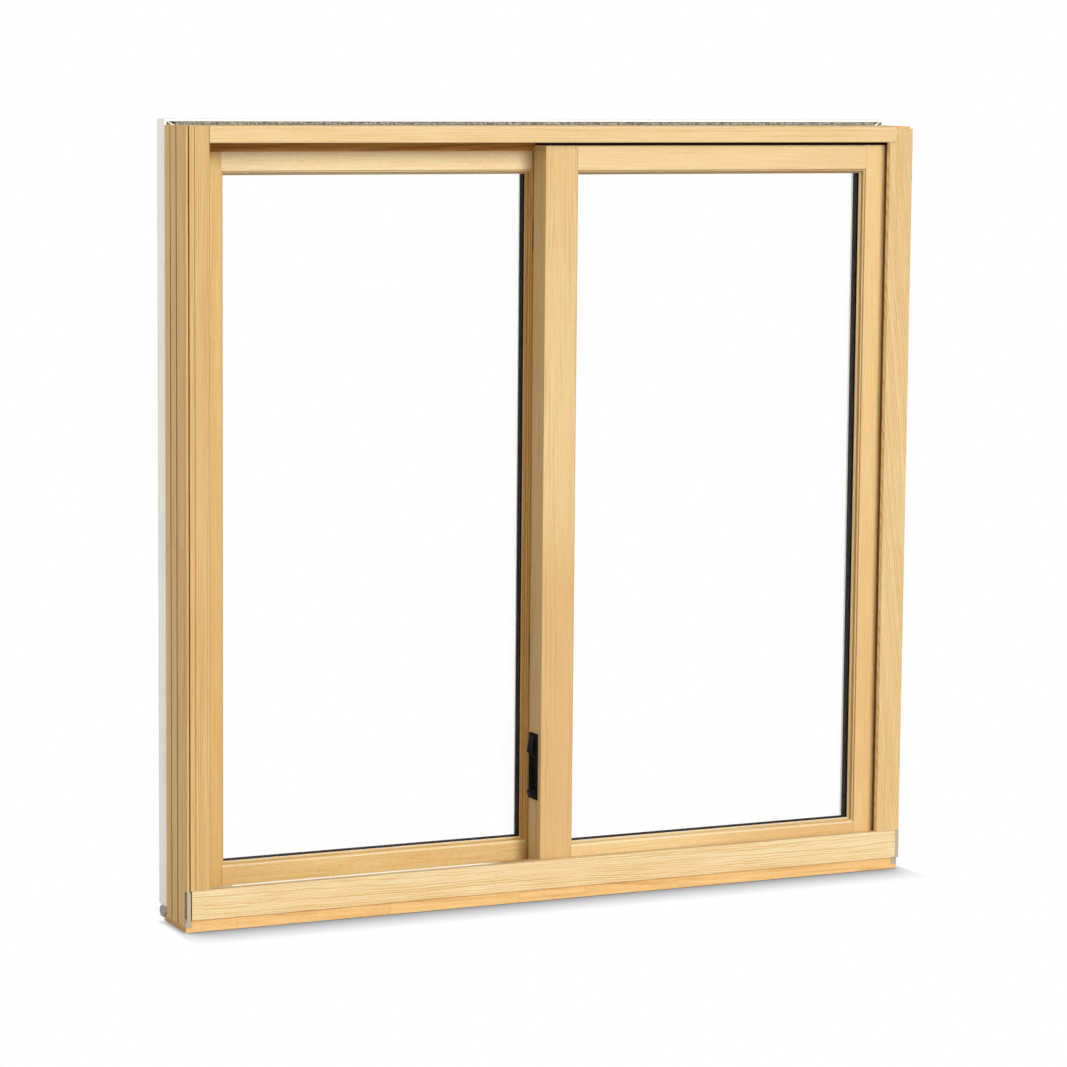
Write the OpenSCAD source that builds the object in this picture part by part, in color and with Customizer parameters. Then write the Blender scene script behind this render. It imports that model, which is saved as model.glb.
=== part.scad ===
// Two-panel horizontal sliding window, seen from the room side: pine frame and
// sashes inside, white pultruded cladding outside. The left sash is fixed in the
// outer track. The right sash slides to the left on two rollers in the inner track.
// Working coordinates: X from the left edge, Y from the room side outwards, Z up.

/* [Frame] */
// Width of the wood frame, outside to outside
frame_width = 1207; // [1000:1:1800]
// Height of the wood frame
wood_height = 1184; // [1120:1:1600]
// Depth of the wood frame
wood_depth = 90; // [88:0.5:96]
// Thickness of the side jambs
jamb_thickness = 19; // [17:0.5:22]
// Thickness of the head jamb
head_thickness = 18; // [15:0.5:22]
// Thickness of the sill board
sill_thickness = 18.6; // [17:0.1:22]
// How far the sill board lies behind the room face
sill_recess = 6.5; // [4:0.5:9]
// Height of the sill board's ends under the jambs
sill_end_height = 8; // [7:0.5:9]
// Width of each relief groove in a jamb's outer face
relief_width = 3; // [2:0.5:5]
// Depth of each relief groove
relief_depth = 5; // [3:0.5:8]

/* [Stops] */
// Thickness of the jamb stops and the head stop
stop_thickness = 9; // [7:0.5:11]
// Width of the left jamb stop
left_stop_width = 37; // [32:0.5:45]
// Width of the right jamb stop
right_stop_width = 41; // [36:0.5:46]
// Height of the head stop
head_stop_height = 24.6; // [23:0.1:27]
// Length of the head stop that laps over the right jamb stop
head_stop_lap = 11; // [6:0.5:16]
// Height of the sill stop
sill_stop_height = 44.6; // [40:0.1:50]
// Thickness of the sill stop
sill_stop_thickness = 12; // [9:0.5:12.5]
// Distance from the left edge to the groove in the left jamb stop
stop_groove_inset = 3.3; // [3:0.1:6]
// Width of that groove
stop_groove_width = 2.4; // [1.5:0.1:3]
// Depth of that groove
stop_groove_depth = 5.5; // [3:0.5:6]
// Height of the parting stop that hangs over the fixed sash
parting_stop_height = 20.3; // [16:0.1:22]
// Thickness of the parting stop
parting_stop_thickness = 11.5; // [9:0.5:12]
// Thickness of an end cap beside the sill stop
cap_thickness = 5.7; // [4.5:0.1:7]
// Gap between the left end cap and the sill stop
cap_gap = 1.9; // [0.5:0.1:2.5]

/* [Cladding] */
// Depth of the cladding behind the wood
clad_depth = 33; // [30:0.5:38]
// Wall of the cladding
clad_wall = 3.5; // [2.5:0.1:4]
// Width of the cladding's outside face
clad_face = 33; // [31:1:40]
// Height of the fin behind the fixed sash, above the sill's underside
fin_height = 38; // [36:1:42]
// How far the head cladding rises above the wood
clad_rise = 8.5; // [7.5:0.1:10]
// Clear width of the outer chamber of the cladding
clad_chamber = 7.5; // [6.5:0.1:9]
// Height at which the jamb cladding ends above the sill cladding
clad_foot = 22.5; // [22.4:0.1:24]

/* [Sashes] */
// How far the sliding sash's face lies behind the room face
sash_recess = 15; // [14.5:0.1:17]
// Thickness of a sash, cladding included
sash_thickness = 43; // [42:0.5:45]
// Gap between the two sashes
sash_gap = 2.5; // [2.3:0.1:3.5]
// Gap between the sliding sash and its jamb
side_gap = 3.3; // [2:0.1:6]
// Gap between the fixed sash and its jamb
fixed_side_gap = 5; // [2:0.1:6]
// Overlap of the two meeting stiles, with equal gaps at the jambs
meeting_overlap = 48; // [44:1:52]
// Width of a stile, up to the edge of its face
stile_width = 52.7; // [48:0.1:60]
// Height of the sliding sash's bottom rail, up to the edge of its face
bottom_rail_height = 52.4; // [50:0.1:65]
// Height of the fixed sash's bottom rail, up to the edge of its face
fixed_rail_height = 56; // [50:0.1:65]
// Height of the sliding sash's top rail, up to the edge of its face
top_rail_height = 37.5; // [33:0.1:45]
// Gap between the sliding sash and the head jamb
top_gap = 11.3; // [9:0.1:13]
// Gap between the fixed sash and the head jamb
fixed_top_gap = 3.5; // [2:0.1:6]
// Width of the moulded edge round the glass
stick_width = 6; // [5:0.1:8]
// Depth of the moulded edge round the glass
stick_depth = 12; // [11:0.1:13]
// Rounding of the wood's edges
arris = 1.2; // [0.6:0.1:1.6]
// Width of the step in a stile's jamb side
rebate_width = 18.4; // [16:0.1:24]
// Depth of the step in a stile's jamb side
rebate_depth = 9; // [6:0.5:11]
// Width of the wood that shows at the sliding sash's left edge, beside its cladding
edge_lip = 6; // [4:0.5:8]
// Thickness of the outside cladding of a sash
sash_clad = 5; // [4:0.5:6]

/* [Glass] */
// Thickness of one pane
pane = 3; // [3:0.5:4]
// Space between the panes
pane_space = 11; // [9:0.5:11]
// Thickness of the gasket between the wood and the glass
gasket = 1; // [0.5:0.1:1.5]
// How far the glass reaches into the wood beyond the visible edge
glass_bite = 9.5; // [8:0.5:11]
// Gap between the edge of the glass and the wood
edge_gap = 1.7; // [1:0.1:2.5]

/* [Tracks and rollers] */
// Height of the sashes above the sill board
track_height = 8.4; // [8:0.1:10]
// Base thickness of the sill track
track_base = 2.5; // [2:0.1:3]
// Width of the rail that the rollers run on
rail_width = 3; // [2:0.1:4]
// Gap between the top of the rail and the sash
rail_gap = 1; // [0.6:0.1:1.5]
// Radius of a roller
roller_radius = 8; // [6:0.5:10]
// Width of a roller
roller_width = 5; // [4:0.5:6]
// Radius of a roller's axle
axle_radius = 2; // [1.5:0.1:2.5]
// Radial clearance of a turning piece on its pin
pin_clearance = 0.05; // [0.02:0.01:0.1]
// Distance from a stile to the nearest roller's axle
roller_inset = 48; // [40:1:120]
// Length of the top guides
guide_length = 40; // [30:1:60]
// Distance from the left jamb to the sliding sash when it is fully open
open_reveal = 55.5; // [55.5:0.5:155]

/* [Handle and lock] */
// Height of the handle's centre above the sill stop
handle_height = 141; // [130:0.1:170]
// Length of the handle plate
handle_length = 102.5; // [98:0.5:110]
// Width of the handle plate
handle_width = 26.6; // [24:0.1:28]
// Thickness of the handle plate
handle_thickness = 3; // [2:0.1:4]
// Distance from the sash's face to the handle plate
handle_setback = 10.4; // [8:0.1:11]
// Depth of the finger dish, behind the plate's face
dish_depth = 5.2; // [5:0.1:7]
// How far the sloping sides of the dish run in
dish_slope = 3; // [2:0.5:4]
// Width of the plate's rim beside the dish
dish_rim = 2; // [1.5:0.1:3]
// Length of the lock lever
lever_length = 33.5; // [30:0.5:35]
// Width of the lock lever
lever_width = 17; // [14:0.5:18]
// How far the lever's free end stands out from the plate
lever_rise = 5.2; // [4:0.1:5.5]
// How far the lower lip stands out from the plate
lip_rise = 3.4; // [2:0.1:4]
// Height of the lower lip
lip_height = 12.5; // [8:0.5:13]
// Height of the lower hook above the sill stop
lower_hook_height = 319.8; // [300:0.1:340]
// Depth of the upper hook below the head jamb
upper_hook_drop = 149; // [140:0.5:300]
// Length of the mortise that a keeper lies in
keeper_length = 47; // [45:0.5:52]
// How much of the mortise stays bare at each end of the keeper
keeper_margin = 5.5; // [4:0.5:6]
// Thickness of a keeper
keeper_thickness = 1.6; // [1.2:0.1:1.7]
// Thickness of a hook
hook_thickness = 3; // [2.5:0.1:3.5]
// Distance from a hook's pin to its tip
hook_reach = 23; // [21:0.5:23]
// Thickness of the drive bar
bar_thickness = 3; // [2.5:0.1:3.5]
// Width of the drive bar
bar_width = 8; // [6:0.5:9]

/* [Hidden] */

pine = [0.93, 0.79, 0.58];
shade_pine = [0.85, 0.68, 0.45];
cladding_white = [0.89, 0.88, 0.83];
vinyl_white = [0.92, 0.90, 0.86];
cap_beige = [0.75, 0.68, 0.57];
foam_grey = [0.56, 0.55, 0.51];
gasket_grey = [0.60, 0.60, 0.60];
seal_black = [0.10, 0.10, 0.09];
handle_black = [0.11, 0.11, 0.10];
zinc = [0.66, 0.66, 0.66];
steel = [0.72, 0.72, 0.74];
clear_glass = [0.86, 0.93, 0.92, 0.35];

$fn = 48;
// General running gap between pieces that move past each other
gap = 0.3;
// Gap at the corner joints of the bars round the glass
bar_joint = 0.1;
// Cuts reach this far past a face
past = 1;

total_depth = wood_depth + clad_depth;
stop_base = sill_thickness + sill_stop_height;
head_under = wood_height - head_thickness;
head_stop_under = wood_height - head_stop_height;
clad_top = wood_height + clad_rise;
right_inner = frame_width - jamb_thickness;

// Sashes: outer size, face planes and heights
sash_width = (frame_width - 2 * (jamb_thickness + side_gap) + meeting_overlap) / 2;
fixed_x = jamb_thickness + fixed_side_gap;
slide_x = right_inner - side_gap - sash_width;
sash_travel = slide_x - jamb_thickness - open_reveal;
slide_y = sash_recess;
slide_back = slide_y + sash_thickness;
fixed_y = slide_back + sash_gap;
fixed_back = fixed_y + sash_thickness;
sash_bottom = sill_thickness + track_height;
slide_top = head_under - top_gap;
fixed_top = head_under - fixed_top_gap;
top_edge = slide_top - top_rail_height;
wood_part = sash_thickness - sash_clad;
// A sash as its left edge, its face, its top and the height of its bottom rail
slide = [slide_x, slide_y, slide_top, bottom_rail_height];
fixed = [fixed_x, fixed_y, fixed_top, fixed_rail_height];
function low_edge(sash) = sash_bottom + sash[3];
parting_under = head_under - parting_stop_height;
parting_y = fixed_y - 0.5;

// Glass unit, measured from a sash's face
pane_1 = stick_depth + gasket;
pane_2 = pane_1 + pane + pane_space;
unit_back = pane_2 + pane;
glass_rebate = stick_width - glass_bite - edge_gap;

// Places of the lock parts in the sliding sash's meeting stile
bar_inset = 11;
bar_setback = 22;
bar_head_room = 30;
bar_x = slide_x + bar_inset;
bar_y = slide_y + bar_setback;
hook_clearance = 2.5;
hook_x = bar_x + bar_thickness + hook_clearance;
hook_pin_inset = 10;
hook_pin_y = slide_back - hook_pin_inset;
hook_pin_radius = 2;
hook_pin_seat = 4;
hook_pin_drop = 10;
pin_end = 1.2;
handle_z = stop_base + handle_height;
lever_top = handle_z + handle_length / 2;
lever_y = slide_y + handle_setback + handle_width - lever_width - 3;
lever_pin_inset = 1.2;
lever_pin_drop = 4.5;
lever_pin_radius = 1;
lever_pin = [slide_x + lever_pin_inset, lever_top - lever_pin_drop];
lever_room = 4.6;
lug = 1.4;
hook_heights = [stop_base + lower_hook_height, head_under - upper_hook_drop];

// Places of the rollers
roller_y = slide_y + sash_thickness / 2;
rail_top = sash_bottom - rail_gap;
axle_z = rail_top + gap + roller_radius;
roller_xs = [slide_x + stile_width + roller_inset, right_inner - side_gap - stile_width - roller_inset];
housing_length = 3.6 * roller_radius;
housing_wall = 1.5;
roller_flange = 1;
housing_width = roller_width + 2 * (housing_wall + 1);
housing_top = axle_z + roller_radius + roller_flange + gap + housing_wall + gap;

// Distance from the sliding sash's left edge to its first guide
guide_inset = 12;

// Puts the working coordinates' origin under the middle of the window
module placed() {
    translate([-frame_width / 2, -total_depth / 2, 0]) children();
}

// A box between two corners
module block(a, b) {
    translate(a) cube(b - a);
}

// A flat shape drawn in X and Z, thickened along Y from y
module plate_xz(y, t) {
    translate([0, y + t, 0]) rotate([90, 0, 0]) linear_extrude(t) children();
}

// A flat shape drawn in Y and Z, thickened along X from x
module plate_yz(x, t) {
    translate([x, 0, 0]) rotate([90, 0, 90]) linear_extrude(t) children();
}

// A cylinder along X, and one along Y
module rod_x(p, r, l) {
    translate(p) rotate([0, 90, 0]) cylinder(r = r, h = l);
}
module rod_y(p, r, l) {
    translate(p) rotate([-90, 0, 0]) cylinder(r = r, h = l);
}

// Quarter of a circle as points, from angle a, round the centre c
function quarter(c, r, a) = [for (i = [0:4]) c + r * [cos(a + i * 22.5), sin(a + i * 22.5)]];

// A rectangle whose corners at the low second coordinate are rounded
function eased(a, b, r) = concat([[b[0], b[1]], [a[0], b[1]]],
    quarter([a[0] + r, a[1] + r], r, 180), quarter([b[0] - r, a[1] + r], r, 270));

// Moulded edge of a sash member: an ovolo, a step and a bevel, beyond the face's width w
function moulding(w) = let (sw = stick_width / 6, sd = stick_depth / 12) concat(
    [[w - 0.01, 2.4 * sd]],
    [for (i = [0:4]) [w + sw * (0.7 + 2.5 * sin(i * 22.5)), sd * (2.4 + 3.8 * (1 - cos(i * 22.5)))]],
    [[w + 3.2 * sw, 7.8 * sd], [w + 4 * sw, 7.8 * sd], [w + stick_width, 10.6 * sd],
    [w + stick_width, stick_depth], [w - 0.01, stick_depth]]);

// Solid section of a member: width across the face, then depth. step_w and step_d cut its outer edge.
function member(w, step_w, step_d) = concat(
    [[w, wood_part], [0, wood_part]],
    step_w > 0 ? [[0, step_d], [step_w, step_d]] : [],
    quarter([step_w + arris, arris], arris, 180), quarter([w - arris, arris], arris, 270));

function to_left(pts, x, y) = [for (p = pts) [x + p[0], y + p[1]]];
function to_right(pts, x, y) = [for (p = pts) [x - p[0], y + p[1]]];
function to_bottom(pts, y, z) = [for (p = pts) [y + p[1], z + p[0]]];
function to_top(pts, y, z) = [for (p = pts) [y + p[1], z - p[0]]];

// The four mitred quarters of the moulding, one for each side
module mitre(sash, side) {
    x0 = sash[0] + stile_width;
    x1 = sash[0] + sash_width - stile_width;
    z0 = low_edge(sash);
    s = stick_width;
    corners = [[x0, z0], [x1, z0], [x1, top_edge], [x0, top_edge]];
    inner = [[x0 + s, z0 + s], [x1 - s, z0 + s], [x1 - s, top_edge - s], [x0 + s, top_edge - s]];
    n = (side + 1) % 4;
    out = [[0, -1], [1, 0], [0, 1], [-1, 0]][side];
    plate_xz(sash[1], stick_depth) polygon([corners[side] + out, corners[n] + out, corners[n],
        inner[n], inner[side], corners[side]]);
}

// A stile with its moulding. Its edge of width lip, if any, is wood over the sash's full thickness.
module stile(sash, right, step_w, lip) {
    section = member(stile_width, step_w, rebate_depth);
    edge = moulding(stile_width);
    outer = right ? sash[0] + sash_width : sash[0];
    low = low_edge(sash);
    translate([0, 0, sash_bottom]) linear_extrude(sash[2] - sash_bottom) {
        polygon(right ? to_right(section, outer, sash[1]) : to_left(section, outer, sash[1]));
        if (lip > 0) translate([outer, sash[1] + sash_thickness / 2]) square([lip, sash_thickness / 2]);
    }
    intersection() {
        translate([0, 0, low]) linear_extrude(top_edge - low)
            polygon(right ? to_right(edge, outer, sash[1]) : to_left(edge, outer, sash[1]));
        mitre(sash, right ? 1 : 3);
    }
}

// Room that the glass unit needs in the wood, with its edge gap
module glass_room(sash) {
    s = glass_bite - stick_width + edge_gap;
    x0 = sash[0] + stile_width - s;
    x1 = sash[0] + sash_width - stile_width + s;
    block([x0, sash[1] + stick_depth, low_edge(sash) - s],
        [x1, sash[1] + sash_thickness + past, top_edge + s]);
}

// A rail between the stiles, with its moulding
module rail(sash, top) {
    height = top ? sash[2] - top_edge : sash[3];
    section = member(height, 0, 0);
    edge = moulding(height);
    length = sash_width - 2 * stile_width;
    x = sash[0] + stile_width;
    plate_yz(x, length)
        polygon(top ? to_top(section, sash[1], sash[2]) : to_bottom(section, sash[1], sash_bottom));
    intersection() {
        plate_yz(x, length)
            polygon(top ? to_top(edge, sash[1], sash[2]) : to_bottom(edge, sash[1], sash_bottom));
        mitre(sash, top ? 2 : 0);
    }
}

// One pane, d behind the face of the sash
module glass_pane(sash, d) {
    s = glass_bite - stick_width;
    block([sash[0] + stile_width - s, sash[1] + d, low_edge(sash) - s],
        [sash[0] + sash_width - stile_width + s, sash[1] + d + pane, top_edge + s]);
}

// Four bars round the glass, from depth d0 to d1, whose inner edges reach past the visible edge
module glass_bars(sash, d0, d1, outer, reach) {
    in = stick_width + reach;
    x0 = sash[0] + stile_width;
    x1 = sash[0] + sash_width - stile_width;
    y = sash[1];
    low = low_edge(sash);
    for (xa = [x0 - outer, x1 - in])
        block([xa, y + d0, low - outer], [xa + outer + in, y + d1, top_edge + outer]);
    for (z = [low - outer, top_edge - in])
        block([x0 + in + bar_joint, y + d0, z], [x1 - in - bar_joint, y + d1, z + outer + in]);
}

// Outside cladding of a sash: a flat cover, and the bead that holds the glass in its rebate
cover_edge = 2;
bead_edge = glass_rebate + 0.4;
function flat_cover(w, from) = [[from, wood_part], [w + cover_edge, wood_part],
    [w + cover_edge, sash_thickness], [from, sash_thickness]];
function bead(w) = [[w + bead_edge, wood_part], [w + bead_edge, unit_back],
    [w + stick_width - 1, unit_back], [w + stick_width - 0.4, unit_back + 1.5],
    [w + cover_edge, sash_thickness], [w + cover_edge, wood_part]];

// The four covers and beads of a sash; the left one leaves the wood's lip free
module sash_covers(sash, lip) {
    x = sash[0];
    y = sash[1];
    w = stile_width;
    right = x + sash_width;
    rise = cover_edge + bar_joint;
    low = low_edge(sash);
    top_height = sash[2] - top_edge;
    translate([0, 0, sash_bottom]) linear_extrude(sash[2] - sash_bottom) {
        polygon(to_left(flat_cover(w, lip), x, y));
        polygon(to_right(flat_cover(w, 0), right, y));
    }
    translate([0, 0, low + rise]) linear_extrude(top_edge - low - 2 * rise) {
        polygon(to_left(bead(w), x, y));
        polygon(to_right(bead(w), right, y));
    }
    plate_yz(x + w + rise, sash_width - 2 * (w + rise)) {
        polygon(to_bottom(flat_cover(sash[3], 0), y, sash_bottom));
        polygon(to_top(flat_cover(top_height, 0), y, sash[2]));
    }
    plate_yz(x + w + stick_width, sash_width - 2 * (w + stick_width)) {
        polygon(to_bottom(bead(sash[3]), y, sash_bottom));
        polygon(to_top(bead(top_height), y, sash[2]));
    }
}

// Section of the frame's cladding: distance from its outer face, then depth behind the wood
lip = 2;
chamber_wall = clad_wall + clad_chamber;
return_front = fixed_back + gap - wood_depth;
clad_section = concat([[0, clad_depth], [0, lip + arris]], quarter([arris, lip + arris], arris, 180),
    [[clad_wall, lip], [clad_wall, clad_depth - clad_wall], [chamber_wall, clad_depth - clad_wall],
    [chamber_wall, 0], [chamber_wall + clad_wall + 5, 0], [chamber_wall + clad_wall + 5, clad_wall],
    [chamber_wall + clad_wall, clad_wall], [chamber_wall + clad_wall, clad_depth - clad_wall],
    [clad_face - clad_wall, clad_depth - clad_wall], [clad_face - clad_wall, return_front],
    [clad_face, return_front], [clad_face, clad_depth]]);

// Frame, wood

module sill_board() {
    color(pine) placed() difference() {
        plate_yz(0, frame_width) polygon([[sill_recess, 0], [sill_recess, sill_thickness],
            [wood_depth, sill_thickness], [wood_depth, 13], [wood_depth + 8, 8], [wood_depth + 11, 0]]);
        for (x = [-past, right_inner])
            block([x, sill_stop_thickness + 0.2, sill_end_height],
                [x + jamb_thickness + past, total_depth, sill_thickness + past]);
        for (x = [-past, frame_width - cap_thickness - cap_tab])
            block([x, 0, cap_foot - 0.2],
                [x + cap_thickness + cap_tab + past, sill_stop_thickness + 0.3, sill_thickness + past]);
    }
}

// Side jamb, from its outer face at x
module jamb(x, right) {
    low = sill_stop_thickness + 0.2;
    difference() {
        plate_yz(x, jamb_thickness) polygon([[stop_thickness, stop_base], [stop_thickness, wood_height],
            [wood_depth, wood_height], [wood_depth, sill_end_height], [low, sill_end_height],
            [low, stop_base]]);
        for (y = [0.4375, 0.725] * wood_depth)
            block([right ? x + jamb_thickness - relief_depth : x - past, y, 0],
                [right ? x + jamb_thickness + past : x + relief_depth, y + relief_width, clad_top]);
    }
}

module left_jamb() {
    color(shade_pine) placed() jamb(0, false);
}

module right_jamb() {
    color(shade_pine) placed() jamb(right_inner, true);
}

module head_jamb() {
    color(pine) placed() block([jamb_thickness, stop_thickness, head_under],
        [right_inner, wood_depth, wood_height]);
}

module sill_stop() {
    x0 = cap_thickness + cap_gap;
    x1 = frame_width - cap_thickness - gap;
    color(pine) placed() plate_yz(x0, x1 - x0) polygon([[sill_stop_thickness, sill_thickness],
        [sill_stop_thickness, stop_base], [1.6 * arris, stop_base],
        [0.6 * arris, stop_base - 0.4 * arris], [0, stop_base - 1.4 * arris],
        [0, sill_thickness + arris], [0.4 * arris, sill_thickness + 0.3 * arris],
        [arris, sill_thickness]]);
}

module head_stop() {
    x1 = frame_width - right_stop_width + head_stop_lap;
    color(pine) placed() plate_yz(left_stop_width, x1 - left_stop_width)
        polygon([[stop_thickness, wood_height], [stop_thickness, head_stop_under],
            [arris, head_stop_under], [0.3 * arris, head_stop_under + 0.3 * arris],
            [0, head_stop_under + arris], [0, wood_height - arris],
            [0.3 * arris, wood_height - 0.3 * arris], [arris, wood_height]]);
}

module left_jamb_stop() {
    g0 = stop_groove_inset;
    g1 = g0 + stop_groove_width;
    section = eased([0, 0], [left_stop_width, stop_thickness], arris);
    color(pine) placed() translate([0, 0, stop_base]) linear_extrude(wood_height - stop_base)
        difference() {
            polygon(section);
            translate([g0, -past]) square([g1 - g0, stop_groove_depth + past]);
            translate([13.5, 0]) circle(r = 0.7);
        }
}

module right_jamb_stop() {
    x0 = frame_width - right_stop_width;
    section = [for (p = eased([0, 0], [right_stop_width, stop_thickness], arris)) p + [x0, 0]];
    top = wood_height - 3.5;
    color(pine) placed() difference() {
        translate([0, 0, stop_base]) linear_extrude(top - stop_base) polygon(section);
        block([x0 - past, -past, head_stop_under], [x0 + head_stop_lap, stop_thickness + past, top + past]);
    }
}

module parting_stop() {
    color(shade_pine) placed() difference() {
        block([jamb_thickness, parting_y, parting_under],
            [right_inner, parting_y + parting_stop_thickness, head_under]);
        block([0, parting_y - past, parting_under + 5.5],
            [frame_width, parting_y + 0.8, parting_under + 6.5]);
    }
}

// Tracks and plastic pieces of the frame

rib_ys = [fixed_y + 6, wood_depth - 4];

module sill_track() {
    x0 = jamb_thickness + gap;
    x1 = right_inner - gap;
    y0 = sill_stop_thickness + 0.2;
    base = sill_thickness + track_base;
    fin = [slide_back + 0.7, fixed_y - 0.7];
    fin_top = sash_bottom + bottom_rail_height / 2;
    color(vinyl_white) placed() {
        block([x0, y0, sill_thickness], [x1, wood_depth - gap, base]);
        block([x0, y0, sill_thickness], [x1, y0 + 1.6, sash_bottom + 3]);
        block([x0, roller_y - rail_width / 2, sill_thickness],
            [x1, roller_y + rail_width / 2, rail_top - rail_width / 2]);
        rod_x([x0, roller_y, rail_top - rail_width / 2], rail_width / 2, x1 - x0);
        block([x0, fin[0], sill_thickness], [x1, fin[1], fin_top]);
        for (y = rib_ys) block([x0, y, sill_thickness], [x1, y + 3, sash_bottom]);
    }
}

module track_cover() {
    x0 = fixed_x + stile_width - 2;
    y0 = sill_stop_thickness + 0.2;
    color(vinyl_white) placed() {
        block([x0, y0, sash_bottom + 3], [slide_x - 4, y0 + 1.4, stop_base + 1.8]);
    }
}

// Distance from the sliding sash's faces to the head track, its walls and how far it hangs down
track_inset = 5;
track_wall = 1.6;
track_roof = 2;
track_drop = 6;

module head_track() {
    x0 = jamb_thickness + gap;
    x1 = right_inner - gap;
    front = slide_y + track_inset;
    back = slide_back - track_inset;
    color(seal_black) placed() {
        block([x0, front, head_under - track_roof], [x1, back, head_under]);
        for (y = [front, back - track_wall])
            block([x0, y, head_under - track_drop], [x1, y + track_wall, head_under]);
    }
}

// Height and reach of the foot of an end cap, in a notch of the sill board
cap_foot = 7;
cap_tab = 3.7;

module end_cap() {
    depth = sill_stop_thickness;
    rib = (sill_thickness + stop_base) / 2;
    difference() {
        union() {
            plate_xz(0, depth) polygon([[0, sill_thickness], [cap_thickness, sill_thickness],
                [cap_thickness, stop_base - 2], [cap_thickness - 1.6, stop_base], [0, stop_base]]);
            block([0, sill_recess - 0.5, cap_foot], [cap_thickness + cap_tab - 0.2, depth, sill_thickness]);
        }
        for (z = [[sill_thickness + 2, rib - 0.8], [rib + 0.8, stop_base - 2]])
            block([-past, 1.6, z[0]], [cap_thickness - 1.6, depth - 1.6, z[1]]);
    }
}

module left_end_cap() {
    color(cap_beige) placed() end_cap();
}

module right_end_cap() {
    color(cap_beige) placed() translate([frame_width, 0, 0]) mirror([1, 0, 0]) end_cap();
}

module travel_stop() {
    length = 24;
    x0 = slide_x + guide_inset - sash_travel - length - gap;
    y = (slide_y + slide_back) / 2;
    low = head_under - track_drop;
    half = length / 2;
    wall = length / 6;
    color(seal_black) placed() difference() {
        block([x0, y - half, low], [x0 + length, y + half, head_under - track_roof]);
        block([x0 + wall, y - half + wall, low - past],
            [x0 + length - wall, y + half - wall, head_under - track_roof - 1]);
    }
}

// Distance from a sash's face to the seal on its jamb, and how deep the seal is
seal_setback = 22;
seal_depth = 5;

module jamb_seals() {
    color(seal_black) placed() {
        block([right_inner - side_gap + gap, slide_y + seal_setback, sash_bottom + 6],
            [right_inner, slide_y + seal_setback + seal_depth, slide_top]);
        block([jamb_thickness, fixed_y + seal_setback, sash_bottom + 6],
            [fixed_x - gap, fixed_y + seal_setback + seal_depth, parting_under]);
    }
}

// Frame, outside cladding

module clad_frame_part(side) {
    f = clad_face;
    w = frame_width;
    zones = [[[0, clad_foot], [f, clad_foot], [f, clad_top - f], [0, clad_top]],
        [[w, clad_foot], [w, clad_top], [w - f, clad_top - f], [w - f, clad_foot]],
        [[0, clad_top], [f, clad_top - f], [w - f, clad_top - f], [w, clad_top]]];
    color(cladding_white) placed() intersection() {
        plate_xz(wood_depth, clad_depth) polygon(zones[side]);
        union() {
            if (side == 0) linear_extrude(clad_top) polygon(to_left(clad_section, 0, wood_depth));
            if (side == 1) linear_extrude(clad_top) polygon(to_right(clad_section, w, wood_depth));
            if (side == 2) plate_yz(0, w) polygon(to_top(clad_section, wood_depth, clad_top));
        }
    }
}

module left_jamb_cladding() {
    clad_frame_part(0);
}

module right_jamb_cladding() {
    clad_frame_part(1);
}

module head_cladding() {
    clad_frame_part(2);
}

// Thickness of the grey gasket on each end of the sill cladding
corner_gasket = 2.4;

module sill_cladding() {
    back = total_depth;
    front = wood_depth + 0.3;
    top = clad_foot - 0.3;
    fin_x = clad_face + gap;
    color(cladding_white) placed() {
        plate_yz(corner_gasket, frame_width - 2 * corner_gasket)
            polygon([[front, 14], [front, top], [back, top - 2.5], [back, 3.5], [back - clad_wall, 3.5],
                [back - clad_wall, top - 5.6], [front + clad_wall, top - clad_wall],
                [front + clad_wall, 12.5]]);
        block([fin_x, fixed_back + gap, top - 3],
            [frame_width - fin_x, fixed_back + gap + clad_wall, fin_height]);
    }
}

// Outline of that gasket, as shares of the cladding's depth and of its foot's height
gasket_outline = [[0.05, 0.6], [0.05, 0.96], [0.3, 0.91], [0.7, 0.89], [0.94, 0.76], [0.94, 0.33],
    [0.77, 0.3], [0.92, 0.19], [0.41, 0.17], [0.29, 0.43]];

module corner_gasket_at(x) {
    color(gasket_grey) placed() plate_yz(x, corner_gasket) polygon([for (p = gasket_outline)
        [wood_depth + p[0] * clad_depth, p[1] * clad_foot]]);
}

module left_corner_gasket() {
    corner_gasket_at(0);
}

module right_corner_gasket() {
    corner_gasket_at(frame_width - corner_gasket);
}

// Lengths of the corner key's leg and arm, and how thick and how deep it is
key_leg = 32;
key_arm = 50;
key_web = 2.3;
key_depth = 16;

module corner_key() {
    low = clad_top - chamber_wall + 0.2;
    high = clad_top - clad_wall - gap;
    mid = chamber_wall + 2;
    plate_xz(wood_depth + clad_wall, key_depth) polygon([[clad_wall + gap, low - key_leg],
        [chamber_wall - 0.4, low - key_leg], [chamber_wall - 0.4, low], [key_arm, low],
        [key_arm, low + key_web], [mid + 4, low + key_web], [mid - 5, high], [mid - 8, high],
        [mid - 0.4, low + key_web + 0.2], [clad_wall + gap, low + key_web + 0.2]]);
}

module left_corner_key() {
    color(cladding_white) placed() corner_key();
}

module right_corner_key() {
    color(cladding_white) placed() translate([frame_width, 0, 0]) mirror([1, 0, 0]) corner_key();
}

module head_foam_strip() {
    low = clad_top - chamber_wall + key_web + gap;
    inset = chamber_wall + 7;
    color(foam_grey) placed() block([inset, wood_depth + clad_wall + gap, low],
        [frame_width - inset, wood_depth + 10, clad_top - clad_wall - 0.2]);
}

// Fixed sash

module fixed_left_stile() {
    color(pine) placed() difference() {
        stile(fixed, false, rebate_width, 0);
        glass_room(fixed);
        head_rebate();
    }
}

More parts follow.
